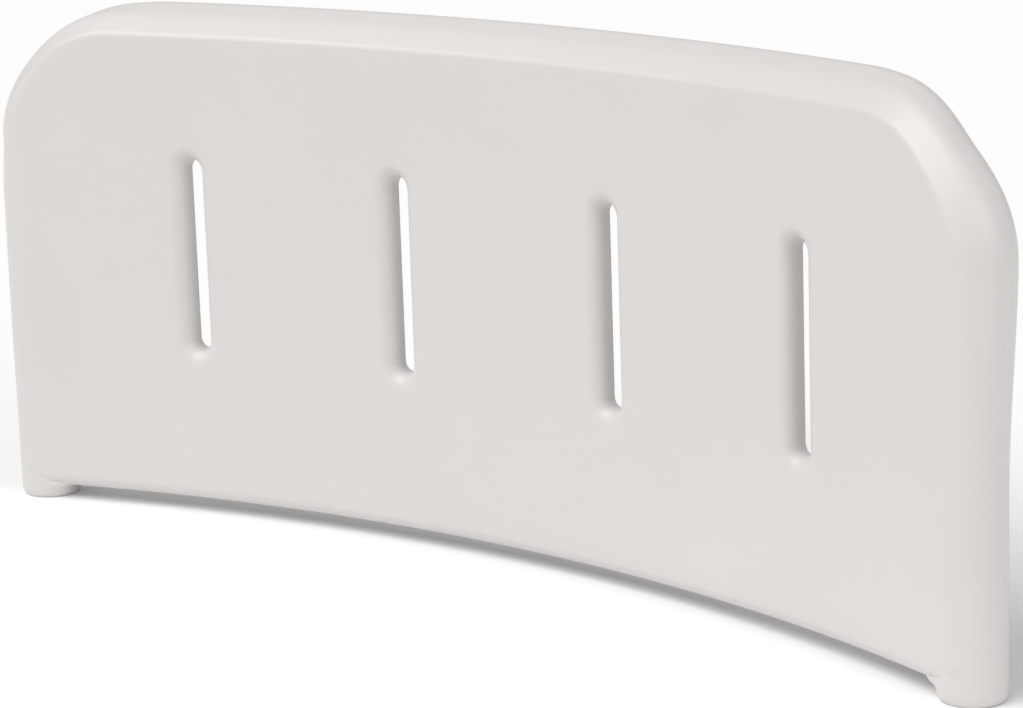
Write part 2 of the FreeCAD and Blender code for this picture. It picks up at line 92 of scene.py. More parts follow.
# The slots: their places along the face, how far their axes turn with it, their
# narrowest width and where it lies, and the round that leads in from the face.
SLOT_ARCS = (-165.8, -57.3, 57.3, 165.8)
SLOT_TURN = 0.5
SLOT_LOW, SLOT_HIGH = 75.0, 160.3
THROAT = 8.7
PINCH_DEPTH = 9.4
FUNNEL_ROUND = 7.1
FIELD_GRID = 8.0
FACE_SETBACK = cad_box[1][1] / MM - RIM_DEPTH
# The sleeves: place, bore, ceiling, the round of the mouth and the web towards the middle.
SLEEVE_ARC = HALF_ARC - SLEEVE_RADIUS
SOCKET_BORE = 11.15
CEILING = 151.0
CEILING_WALL = 3.0
PROUD = 0.02
MOUTH_ROUND, MOUTH_RISE = 1.7, 4.8
COLUMN_SHRINK = 0.9
WEB_FOOT, WEB_ROUND, WEB_TOP = 1.5, 4.5, 8.5
WEB_FROM, WEB_EDGE, WEB_SOFTNESS = 12.9, 0.3, 0.6


def ease(x):
    """0 to 1 with level ends."""
    x = min(max(x, 0.0), 1.0)
    return x * x * (3 - 2 * x)


def rim_depth(height):
    """Front to back through the rim: thinner low down at the ends."""
    rise = ease((height - THICKEN_LOW) / (THICKEN_HIGH - THICKEN_LOW))
    return END_DEPTH + (RIM_DEPTH - END_DEPTH) * rise


def back_depth(inset, rim):
    """How far back the rear surface lies, by distance in from the outline."""
    return FIELD_DEPTH + (rim - FIELD_DEPTH) * (1 - ease((inset - STEP_INSET) / STEP_RUN))


class Station:
    """One place on the outline: where it is, which way is out, the rim's shape."""

    def __init__(self, arc, height, out, top=0.0, foot=0.0, corner=0.0):
        self.arc, self.height, self.out = arc, height, out
        self.top, self.foot, self.corner = top, foot, corner
        self.depth = rim_depth(height)
        if foot:
            self.depth = back_depth(HALF_ARC - arc, END_DEPTH)

    def inward(self, inset):
        return self.arc - self.out[0] * inset, self.height - self.out[1] * inset

    def mirrored(self):
        out = (-self.out[0], self.out[1])
        twin = Station(-self.arc, self.height, out, self.top, self.foot, self.corner)
        twin.depth = self.depth
        return twin


def spread(start, end, step):
    """Even steps from start up to, but not including, end."""
    count = max(1, round(abs(end - start) / step))
    return [start + (end - start) * k / count for k in range(count)]


def pulled_in(along):
    """How far the rim's rear is drawn in, by distance along the outline from the top's end."""
    return ease((along + PULL_START) / PULL_RISE) * ease((PULL_END - along) / PULL_FALL)


def upper_stations(low, radius=CORNER_RADIUS):
    """Up the right-hand end from a height, round the corner and to the middle of the top."""
    stations = []
    corner_height = TOP - radius
    corner_length = radius * math.pi / 2
    for height in spread(low, corner_height, 4.0):
        crease = CREASE_SHARE * ease((height - corner_height + CREASE_LEAD) / CREASE_LEAD)
        pull = pulled_in(corner_length + corner_height - height)
        stations.append(Station(HALF_ARC, height, (1, 0), top=crease, corner=pull))
    for angle in spread(0.0, math.pi / 2, math.pi / 72):
        c, s = math.cos(angle), math.sin(angle)
        crease = CREASE_SHARE + (1 - CREASE_SHARE) * ease(angle / CREASE_ANGLE)
        pull = pulled_in(corner_length - radius * angle)
        stations.append(Station(HALF_ARC - radius * (1 - c), corner_height + radius * s,
                                (c, s), top=crease, corner=pull))
    top_end = HALF_ARC - radius
    for arc in spread(top_end, 0.0, 5.0):
        stations.append(Station(arc, TOP, (0, 1), top=1.0, corner=pulled_in(arc - top_end)))
    return stations


def lower_stations():
    """From the middle of the bottom edge to the foot of the right-hand end."""
    stations = []
    fine_from = HALF_ARC - FOOT_FINE
    for arc in spread(0.0, fine_from, 6.0) + spread(fine_from, SLEEVE_ARC, 1.5):
        stations.append(Station(arc, SLEEVE_DROP, (0, -1), foot=1.0))
    centre = SLEEVE_DROP + SLEEVE_RADIUS
    for angle in spread(-math.pi / 2, 0.0, math.pi / 16):
        c, s = math.cos(angle), math.sin(angle)
        foot = ease(-angle / (math.pi / 2))
        station = Station(SLEEVE_ARC + SLEEVE_RADIUS * c, centre + SLEEVE_RADIUS * s,
                          (c, s), foot=foot)
        station.depth = END_DEPTH
        stations.append(station)
    return stations


def closed_round(half):
    """The right-hand half's stations and their mirror images, as one loop."""
    middle_top = Station(0.0, TOP, (0, 1), top=1.0)
    left = [station.mirrored() for station in reversed(half) if station.arc > 0.01]
    return half + [middle_top] + left


def bend(before, corner, after, reach, steps):
    """A round bend at a corner of a section, as a circular arc of points."""
    arrive = (corner - before).normalized()
    leave = (after - corner).normalized()
    start = corner - arrive * reach
    end = corner + leave * reach
    weight = math.cos(0.5 * arrive.angle(leave, 0.0))
    points = []
    for k in range(steps + 1):
        x = k / steps
        shares = ((1 - x) ** 2, 2 * weight * x * (1 - x), x * x)
        points.append((start * shares[0] + corner * shares[1] + end * shares[2]) / sum(shares))
    return points


def rim_section(station):
    """(inset, depth) points from the face, over the rim and to the seam behind.

    Each shape is three corners, as inset, depth and how far its round reaches. At the
    ends they are half a hexagon round the sleeve, which its rounds make a half circle.
    """
    r = SLEEVE_RADIUS
    flat = math.tan(math.pi / 6) * r
    point = r / math.cos(math.pi / 6)
    depth = station.depth
    end_shape = ((r - flat, 0.0, flat), (r - point, depth / 2, flat), (r - flat, depth, flat))
    top_shape = ((13.1, 0.0, 1.8), (5.5, 10.0, 3.5), (-2.8, depth, 13.8))
    foot_shape = ((0.0, 0.0, 6.0), (0.0, depth / 2, 2.0), (0.0, depth, 5.0))
    corners = []
    reaches = []
    for end, top, foot in zip(end_shape, top_shape, foot_shape):
        upper = [a + (b - a) * station.top for a, b in zip(end, top)]
        inset, back, reach = [a + (b - a) * station.foot for a, b in zip(upper, foot)]
        corners.append(Vector((inset, back)))
        reaches.append(reach)
    corners[2].x += CORNER_PULL * station.corner
    inwards = Vector((60.0, 0.0))
    trail = [corners[0] + inwards] + corners + [corners[2] + inwards]
    points = []
    for k, (reach, steps) in enumerate(zip(reaches, (8, 7, 14))):
        points += bend(trail[k], trail[k + 1], trail[k + 2], reach, steps)
    return points


def seam_point(station):
    """Where the rim's rear edge meets the rear cover."""
    if station.foot == 0.0:
        return station.inward(SEAM_INSET + CORNER_PULL * station.corner)
    side = math.copysign(1.0, station.arc)
    corner = HALF_ARC - SEAM_INSET
    arc = min(abs(station.arc), corner)
    height = FOOT_SEAM
    if station.foot < 1.0:
        arc = corner
        height += (SLEEVE_DROP + SLEEVE_RADIUS - FOOT_SEAM) * ease(1 - 2 * station.foot)
    return side * arc, height


def stadium(slot_arc, grow, depth):
    """A slot's outline at a depth, grown by an amount, as points in order round it."""
    half = THROAT / 2
    width = half + grow
    low, high = SLOT_LOW + half, SLOT_HIGH - half
    slot_arc -= depth * math.tan((1 - SLOT_TURN) * slot_arc / FACE_RADIUS)
    points = [(slot_arc + width, z) for z in spread(low, high, 5.0)]
    points += [(slot_arc + width * math.cos(a), high + width * math.sin(a))
               for a in spread(0.0, math.pi, math.pi / 20)]
    points += [(slot_arc - width, z) for z in spread(high, low, 5.0)]
    points += [(slot_arc + width * math.cos(a), low + width * math.sin(a))
               for a in spread(math.pi, 2 * math.pi, math.pi / 20)]
    return points


def inside(point, loop):
    """Whether a point lies within a closed loop."""
    x, y = point
    hit = False
    for (x0, y0), (x1, y1) in zip(loop, loop[1:] + loop[:1]):
        if (y0 > y) != (y1 > y) and x < (x1 - x0) * (y - y0) / (y1 - y0) + x0:
            hit = not hit
    return hit


class Moulding:
    """Points and faces of a moulding while it is still flat."""

    def __init__(self):
        self.points = []
        self.faces = []

    def ring(self, points):
        """Add a row of (arc, depth, height) points and give their numbers."""
        first = len(self.points)
        self.points += [Vector(p) for p in points]
        return list(range(first, len(self.points)))

    def skin(self, ring, following):
        """Four-sided faces between two closed rows."""
        for k in range(len(ring)):
            n = (k + 1) % len(ring)
            self.faces.append((ring[k], ring[n], following[n], following[k]))

    def sheet(self, border, holes, lines, field, depth, step):
        """Fill between a border row and the rows round the slots.

        Open rows in lines are kept as creases; a grid of points fills the field outline.
        """
        rows = [border] + holes
        outlines = [[(self.points[i].x, self.points[i].z) for i in row] for row in rows]
        numbers = [i for row in rows + lines for i in row]
        edges = []
        first = 0
        for row in rows + lines:
            joins = len(row) - (row in lines)
            edges += [(first + k, first + (k + 1) % len(row)) for k in range(joins)]
            first += len(row)
        coords = [(self.points[i].x, self.points[i].z) for i in numbers]
        lows = [min(p[k] for p in field) for k in (0, 1)]
        highs = [max(p[k] for p in field) for k in (0, 1)]
        nearest = (0.6 * step) ** 2
        for x in spread(lows[0], highs[0], step):
            for z in spread(lows[1], highs[1], step):
                apart = all((x - p[0]) ** 2 + (z - p[1]) ** 2 > nearest for p in coords)
                clear = not any(inside((x, z), o) for o in outlines[1:])
                if apart and clear and inside((x, z), field):
                    numbers += self.ring([(x, depth, z)])
        coords = [(self.points[i].x, self.points[i].z) for i in numbers]
        made = delaunay_2d_cdt([Vector(c) for c in coords], edges, [], 0, 1e-6)
        corners, triangles, sources = made[0], made[2], made[3]
        for triangle in triangles:
            centre = sum((corners[i] for i in triangle), Vector((0, 0))) / 3
            if inside(centre, outlines[0]) and not any(inside(centre, o) for o in outlines[1:]):
                self.faces.append([numbers[sources[i][0]] for i in triangle])

    def slots(self, rounds):
        """The rows that roll from a face into each throat; gives the outermost rows."""
        outermost = []
        for slot_arc in SLOT_ARCS:
            rings = [self.ring([(a, depth, z) for a, z in stadium(slot_arc, grow, depth)])
                     for grow, depth in rounds]
            for ring, following in zip(rings, rings[1:]):
                self.skin(ring, following)
            outermost.append(rings[0])
        return outermost

    def flat_object(self, name, outward):
        """A mesh object, turned so that its foremost face in a direction faces that way."""
        work = bmesh.new()
        corners = [work.verts.new(p * MM) for p in self.points]
        for face in self.faces:
            if len(set(face)) > 2:
                work.faces.new([corners[i] for i in face])
        bmesh.ops.remove_doubles(work, verts=work.verts, dist=0.01 * MM)
        loose = [v for v in work.verts if not v.link_faces]
        bmesh.ops.delete(work, geom=loose, context="VERTS")
        bmesh.ops.recalc_face_normals(work, faces=work.faces)
        work.faces.ensure_lookup_table()
        foremost = max(work.faces, key=lambda f: f.calc_center_median().dot(Vector(outward)))
        if foremost.normal.dot(Vector(outward)) < 0:
            bmesh.ops.reverse_faces(work, faces=work.faces)
        mesh = bpy.data.meshes.new(name)
        work.to_mesh(mesh)
        work.free()
        made = bpy.data.objects.new(name, mesh)
        bpy.context.collection.objects.link(made)
        return made


def rolling_tree():
    """Geometry nodes that roll a flat moulding to the plan radius of its face."""
    tree = bpy.data.node_groups.new("roll_to_plan_radius", "GeometryNodeTree")
    face = tree.interface
    face.new_socket("Geometry", in_out="INPUT", socket_type="NodeSocketGeometry")
    for label in ("Plan radius", "Face setback"):
        face.new_socket(label, in_out="INPUT", socket_type="NodeSocketFloat")
    face.new_socket("Finish", in_out="INPUT", socket_type="NodeSocketMaterial")
    face.new_socket("Geometry", in_out="OUTPUT", socket_type="NodeSocketGeometry")
    nodes, links = tree.nodes, tree.links
    given = nodes.new("NodeGroupInput")
    place = nodes.new("GeometryNodeInputPosition")
    parts = nodes.new("ShaderNodeSeparateXYZ")
    links.new(place.outputs[0], parts.inputs[0])

    def maths(operation, first, second=None):
        node = nodes.new("ShaderNodeMath")
        node.operation = operation
        links.new(first, node.inputs[0])
        if second is not None:
            links.new(second, node.inputs[1])
        return node.outputs[0]

    radius, setback = given.outputs["Plan radius"], given.outputs["Face setback"]
    angle = maths("DIVIDE", parts.outputs["X"], radius)
    reach = maths("ADD", parts.outputs["Y"], radius)
    across = maths("MULTIPLY", reach, maths("SINE", angle))
    back = maths("SUBTRACT", maths("MULTIPLY", reach, maths("COSINE", angle)), radius)
    rolled = nodes.new("ShaderNodeCombineXYZ")
    links.new(across, rolled.inputs["X"])
    links.new(maths("ADD", back, setback), rolled.inputs["Y"])
    links.new(parts.outputs["Z"], rolled.inputs["Z"])
    moved = nodes.new("GeometryNodeSetPosition")
    links.new(given.outputs["Geometry"], moved.inputs["Geometry"])
    links.new(rolled.outputs[0], moved.inputs["Position"])
    real = nodes.new("GeometryNodeRealizeInstances")
    links.new(moved.outputs[0], real.inputs[0])
    finish = nodes.new("GeometryNodeSetMaterial")
    links.new(real.outputs[0], finish.inputs["Geometry"])
    links.new(given.outputs["Finish"], finish.inputs["Material"])
    result = nodes.new("NodeGroupOutput")
    links.new(finish.outputs[0], result.inputs[0])
    return tree


def set_inputs(modifier, values):
    """Set a geometry nodes modifier's inputs by the names in its tree."""
    for item in modifier.node_group.interface.items_tree:
        if item.in_out == "INPUT" and item.name in values:
            modifier[item.identifier] = values[item.name]


def baked(obj, name):
    """A plain object holding what the modifiers of obj make; obj goes."""
    bpy.context.view_layer.update()
    seen = obj.evaluated_get(bpy.context.evaluated_depsgraph_get())
    mesh = bpy.data.meshes.new_from_object(seen)
    mesh.name = name
    bpy.data.objects.remove(obj)
    plain = bpy.data.objects.new(name, mesh)
    bpy.context.collection.objects.link(plain)
    return plain


def smooth_to(obj, degrees):
    """Smooth shading, with a crisp line wherever two faces meet more sharply."""
    mesh = obj.data
    mesh.polygons.foreach_set("use_smooth", [True] * len(mesh.polygons))
    mesh.set_sharp_from_angle(angle=math.radians(degrees))
    mesh.update()


ROLL = rolling_tree()


def rolled(flat, name, finish, wall=0.0):
    """Give a flat moulding its wall and roll it to the plan radius."""
    if wall:
        thicken = flat.modifiers.new("wall", "SOLIDIFY")
        thicken.thickness = wall * MM
        thicken.offset = -1
    roll = flat.modifiers.new("roll", "NODES")
    roll.node_group = ROLL
    set_inputs(roll, {"Plan radius": FACE_RADIUS * MM, "Face setback": FACE_SETBACK * MM,
                      "Finish": finish})
    return baked(flat, name)


class Wire:
    """A shader socket that can be added and multiplied like a number."""

    def __init__(self, sheet, socket):
        self.sheet, self.socket = sheet, socket

    def _maths(self, operation, first, second):
        return self.sheet.node("ShaderNodeMath", {"operation": operation}, {0: first, 1: second})

    def __add__(self, other):
        return self._maths("ADD", self, other)

    def __radd__(self, other):
        return self._maths("ADD", other, self)

    def __mul__(self, other):
        return self._maths("MULTIPLY", self, other)

    def __rmul__(self, other):
        return self._maths("MULTIPLY", other, self)


class Finish:
    """A material's node sheet, with one way of adding a node."""

    def __init__(self, name, **shader):
        self.material = bpy.data.materials.new(name)
        self.material.use_nodes = True
        self.tree = self.material.node_tree
        self.shader = self.tree.nodes["Principled BSDF"]
        for key, value in shader.items():
            self.shader.inputs[key.replace("_", " ")].default_value = value

    def node(self, kind, settings=None, sockets=None, output=0):
        """Add a node: its settings first, then the values or links of its sockets."""
        made = self.tree.nodes.new(kind)
        for key, value in (settings or {}).items():
            setattr(made, key, value)
        for key, value in (sockets or {}).items():
            self.join(value, made.inputs[key])
        return Wire(self, made.outputs[output])

    def join(self, value, socket):
        if isinstance(value, Wire):
            self.tree.links.new(value.socket, socket)
        else:
            socket.default_value = value

    def place(self, scale=(1, 1, 1), move=(0, 0, 0)):
        """Object coordinates, stretched and moved."""
        where = self.node("ShaderNodeTexCoord", output="Object")
        return self.node("ShaderNodeMapping",
                         sockets={"Vector": where, "Scale": scale, "Location": move})

    def noise(self, size, detail=2.0, rough=0.5, where=None):
        """Cloudy noise whose features are about size millimetres across."""
        sockets = {"Vector": where or self.place(), "Scale": 1 / (size * MM),
                   "Detail": detail, "Roughness": rough}
        return self.node("ShaderNodeTexNoise", sockets=sockets)

    def between(self, low, high, share):
        """A number or colour between two, by a share from 0 to 1."""
        if isinstance(low, tuple):
            return self.node("ShaderNodeMix", {"data_type": "RGBA"},
                             {"Factor": share, 6: (*low, 1), 7: (*high, 1)}, output=2)
        return low + (high - low) * share

    def colour(self, value):
        self.join(value, self.shader.inputs["Base Color"])

    def rough(self, value):
        self.join(value, self.shader.inputs["Roughness"])

    def relief(self, height, depth, strength=1.0, over=None):
        """A bump of so many millimetres, and what lies under it."""
        sockets = {"Height": height, "Distance": depth * MM, "Strength": strength}
        if over is not None:
            sockets["Normal"] = over
        bumped = self.node("ShaderNodeBump", sockets=sockets)
        self.join(bumped, self.shader.inputs["Normal"])
        return bumped


def white_moulding(name, seed):
    """Satin white plastic: a fine even grain, faint flow waves, rubbed patches."""
    finish = Finish(name, IOR=1.49)
    where = finish.place(move=(seed, 2 * seed, 0))
    clouds = finish.noise(70.0, detail=3.0, where=where)
    rubbed = finish.noise(22.0, detail=4.0, rough=0.6, where=where)
    finish.colour(finish.between((0.640, 0.617, 0.604), (0.665, 0.641, 0.628), clouds))
    finish.rough(finish.between(0.35, 0.44, rubbed))
    waves = finish.relief(finish.noise(45.0, detail=1.0, where=where), 0.10, 0.4)
    finish.relief(finish.noise(0.9, detail=2.0, rough=0.6, where=where), 0.03, 0.35, over=waves)
    return finish.material


def shell_skin():
    """The outside of the front shell, flat: its face, round the rim and to the rear seam."""
    panel = Moulding()
    rim = closed_round(lower_stations() + upper_stations(SLEEVE_DROP + SLEEVE_RADIUS))
    sections = [rim_section(station) for station in rim]
    rows = []
    for number in range(len(sections[0])):
        row = []
        for station, section in zip(rim, sections):
            inset, depth = section[number]
            arc, height = station.inward(inset)
            row.append((arc, depth, height))
        rows.append(panel.ring(row))
    seam = [seam_point(station) for station in rim]
    rows.append(panel.ring([(arc, station.depth, height)
                            for station, (arc, height) in zip(rim, seam)]))
    for row, following in zip(rows, rows[1:]):
        panel.skin(row, following)
    quarter = [math.radians(9.0 * k) for k in range(11)]
    funnel = [(FUNNEL_ROUND * (1 - math.sin(a)), FUNNEL_ROUND * (1 - math.cos(a)))
              for a in quarter]
    mouths = panel.slots(funnel + [(0.0, PINCH_DEPTH)])
    field = [(panel.points[i].x, panel.points[i].z) for i in rows[0]]
    panel.sheet(rows[0], mouths, [], field, 0.0, FIELD_GRID)
    return panel.flat_object("front_shell_flat", (0, -1, 0))


def sleeve(side):
    """One sleeve as a closed turned solid, flat: it stands in the end of the shell.

    The profile runs down the bore, round the mouth and up the outside. Low down the
    outside spreads towards the middle of the panel, as the web under the face does.
    """
    mouth = [math.radians(11.25 * k) for k in range(9)]
    outer = SLEEVE_RADIUS + PROUD
    column = outer - COLUMN_SHRINK
    under_ceiling = CEILING - CEILING_WALL
    profile = [(SOCKET_BORE, under_ceiling), (SOCKET_BORE, 40.0), (SOCKET_BORE, 0.5),
               (SOCKET_BORE + 0.2, 0.1)]
    profile += [(outer - MOUTH_ROUND * (1 - math.sin(a)), MOUTH_RISE * (1 - math.cos(a)))
                for a in mouth]
    profile += [(outer, MOUTH_RISE + 1.1 * k) for k in range(1, 9)]
    profile += [(SLEEVE_RADIUS, 20.0), (column, 30.0), (column, CEILING)]
    work = bmesh.new()
    turns = 96
    grid = []
    for radius, height in profile:
        row = []
        for k in range(turns):
            angle = 2 * math.pi * k / turns
            towards_middle = max(0.0, -side * math.cos(angle))
            rise = min(max((height - WEB_FOOT) / WEB_ROUND, 0.0), 1.0)
            fillet = WEB_ROUND * (1 - math.sqrt(1 - rise * rise)) if height <= WEB_TOP else 0.0
            web = fillet * ease((towards_middle - WEB_EDGE) / WEB_SOFTNESS)
            if radius <= WEB_FROM:
                web = 0.0
            place = (side * SLEEVE_ARC + (radius + web) * math.cos(angle),
                     SLEEVE_RADIUS + (radius + web) * math.sin(angle), height)
            row.append(work.verts.new(Vector(place) * MM))
        grid.append(row)
    for row, following in zip(grid, grid[1:]):
        for k in range(turns):
            n = (k + 1) % turns
            work.faces.new((row[k], row[n], following[n], following[k]))
    for row, height in ((grid[0], under_ceiling), (grid[-1], CEILING)):
        centre = work.verts.new(Vector((side * SLEEVE_ARC, SLEEVE_RADIUS, height)) * MM)
        for k in range(turns):
            work.faces.new((row[k], row[(k + 1) % turns], centre))
    bmesh.ops.recalc_face_normals(work, faces=work.faces)
    mesh = bpy.data.meshes.new("sleeve_flat")
    work.to_mesh(mesh)
    work.free()
    made = bpy.data.objects.new("sleeve_flat", mesh)
    bpy.context.collection.objects.link(made)
    return made


def joined(name, objects):
    """One object holding the meshes of several, which all sit at the origin."""
    work = bmesh.new()
    for obj in objects:
        work.from_mesh(obj.data)
    mesh = bpy.data.meshes.new(name)
    mesh.materials.append(objects[0].data.materials[0])
    work.to_mesh(mesh)
    work.free()
    for obj in objects:
        bpy.data.objects.remove(obj)
    made = bpy.data.objects.new(name, mesh)
    bpy.context.collection.objects.link(made)
    return made


satin_white = white_moulding("satin_white_shell", 0.0)
front_pieces = [rolled(shell_skin(), "front_skin", satin_white, wall=WALL)]
front_pieces += [rolled(sleeve(side), "sleeve", satin_white) for side in (-1, 1)]
front = joined("front_shell_moulding", front_pieces)
smooth_to(front, 40)
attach(front, "root")
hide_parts("front_shell")

# ------------------------------------------------------------ mouth rings, socket tubes, stop plugs
# Each sleeve is lined by a length of drawn aluminium tube that the bench's
# post slides into. A turned nylon ring guards its mouth and a nylon plug
# closes its top end.


def natural_nylon(name, seed):
    """Off-white nylon: faintly cloudy, a soft sheen and fine turning marks."""
    finish = Finish(name, IOR=1.53)
    where = finish.place(move=(seed, 0, seed))
    clouds = finish.noise(6.0, detail=3.0, where=where)
    finish.colour(finish.between((0.66, 0.645, 0.60), (0.74, 0.725, 0.68), clouds))
    finish.rough(finish.between(0.32, 0.48, finish.noise(2.5, detail=3.0, where=where)))
    rings = finish.noise(0.5, detail=2.0, where=finish.place(scale=(0.05, 0.05, 1.0)))
    finish.relief(rings, 0.02, 0.4)
    return finish.material


def drawn_aluminium(name, streaks):
    """Mill-finish drawn tube: bright, with fine streaks along the draw and dull patches."""
    finish = Finish(name, Metallic=1.0)
    along = finish.noise(0.8, detail=4.0, rough=0.65, where=finish.place(scale=streaks))
    patches = finish.noise(14.0, detail=3.0)
    finish.colour(finish.between((0.66, 0.67, 0.68), (0.82, 0.825, 0.83), patches))
    finish.rough(finish.between(0.26, 0.46, along * 0.7 + patches * 0.3))
    finish.relief(along, 0.02, 0.5)
    return finish.material


nylon = natural_nylon("natural_nylon", 0.0)
for side in ("left", "right"):
    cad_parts[f"mouth_ring_{side}"].material_slots[0].material = nylon
    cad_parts[f"stop_plug_{side}"].material_slots[0].material = nylon
upright_tube = drawn_aluminium("drawn_aluminium_upright", (1.0, 1.0, 0.03))
for side in ("left", "right"):
    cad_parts[f"socket_tube_{side}"].material_slots[0].material = upright_tube

# ------------------------------------------------------------ stiffening rail, its caps and clips
# A drawn tube rolled to the panel's curve lies along the inside of the top
# rim and keeps it from bowing. Nylon caps close its ends and three nylon
# clips hold it down to posts in the shell.
level_tube = drawn_aluminium("drawn_aluminium_level", (0.03, 0.3, 1.0))
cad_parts["stiffener_rail"].material_slots[0].material = level_tube
moulded_nylon = natural_nylon("moulded_nylon", 0.3)
for node in ("rail_cap_left", "rail_cap_right",
             "rail_clip_left", "rail_clip_centre", "rail_clip_right"):
    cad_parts[node].material_slots[0].material = moulded_nylon

# ------------------------------------------------------------ clip screws and tube screws
# Pan-head screws with a cross recess, plain stainless steel. Three fix the
# rail's clips to their posts; one on the back of each sleeve fixes its tube.
HEAD_RADIUS, HEAD_HEIGHT, SHANK_RADIUS = 3.2, 1.6, 1.5
EDGE_BREAK, CROWN_DROP, CROWN_RISE = 0.1, 0.9, 0.95
THREAD_PITCH, THREAD_DEPTH, THREAD_STEP = 1.06, 0.22, 0.15
POINT_SHARE, POINT_LENGTH = 0.45, 1.6
RECESS_DEPTH, RECESS_REACH, RECESS_RISE = 1.05, 1.8, 0.35
ARM_HALF_WIDTH, ARM_TAPER, ARM_TIP, ARM_SOFTNESS = 0.22, 0.10, 1.9, 0.16
ARM_END, ARM_END_SOFTNESS = 1.45, 0.35
CLIP_SCREW_ARC, CLIP_SCREW_DEPTH, CLIP_SCREW_LENGTH = 146.0, 10.4, 5.6
CLIP_SCREW_HEIGHT = TOP - 33.9
TUBE_SCREW_HEIGHT, TUBE_SCREW_LENGTH = 60.0, 3.55


def recess_depth(x, y):
    """How deep the cross recess is at a place on the head."""
    reach = max(abs(x), abs(y))
    width = min(abs(x), abs(y))
    half_width = ARM_HALF_WIDTH + ARM_TAPER * (ARM_TIP - reach)
    wall = 1 - ease((width - half_width) / ARM_SOFTNESS)
    end = 1 - ease((reach - ARM_END) / ARM_END_SOFTNESS)
    return RECESS_DEPTH * wall * end * (1 - RECESS_RISE * reach / RECESS_REACH)


def screw_mesh(name, length):
    """A screw standing on its head's underside at the origin, pointing down."""
    work = bmesh.new()
    turns = 48
    rows = []

    def turned_row(radius, height, cut=False, thread=0.0):
        row = []
        for k in range(turns):
            angle = 2 * math.pi * k / turns
            x, y = radius * math.cos(angle), radius * math.sin(angle)
            z = height - (recess_depth(x, y) if cut else 0.0)
            if thread:
                pull = 1 - thread * abs(((height / THREAD_PITCH - k / turns) % 1.0) * 2 - 1)
                x, y = x * pull, y * pull
            row.append(work.verts.new(Vector((x, y, z)) * MM))
        rows.append(row)

    for k in range(int(length / THREAD_STEP)):
        height = -length + THREAD_STEP * k
        point = min(1.0, POINT_SHARE + (height + length) / POINT_LENGTH)
        turned_row(SHANK_RADIUS * point, height, thread=THREAD_DEPTH)
    turned_row(SHANK_RADIUS, 0.0)
    turned_row(HEAD_RADIUS - EDGE_BREAK, 0.0)
    for degrees in (4, 14, 26, 38, 50, 62):
        a = math.radians(degrees)
        turned_row(HEAD_RADIUS - CROWN_DROP * (1 - math.cos(a)),
                   EDGE_BREAK + CROWN_RISE * math.sin(a))
    dome = rows[-1][0].co
    edge, shoulder = dome.x / MM, dome.z / MM
    rings = 22
    for k in range(1, rings):
        radius = edge * (1 - k / rings)
        dome_height = (HEAD_HEIGHT - shoulder) * (1 - (radius / edge) ** 2)
        turned_row(radius, shoulder + dome_height, cut=True)
    for row, following in zip(rows, rows[1:]):
        for k in range(turns):
            n = (k + 1) % turns
            work.faces.new((row[k], row[n], following[n], following[k]))
    for row, height in ((rows[0], -length), (rows[-1], HEAD_HEIGHT - recess_depth(0, 0))):
        centre = work.verts.new(Vector((0, 0, height)) * MM)
        for k in range(turns):
            work.faces.new((row[k], row[(k + 1) % turns], centre))
    bmesh.ops.recalc_face_normals(work, faces=work.faces)
    mesh = bpy.data.meshes.new(name)
    work.to_mesh(mesh)
    work.free()
    made = bpy.data.objects.new(name, mesh)
    bpy.context.collection.objects.link(made)
    return made


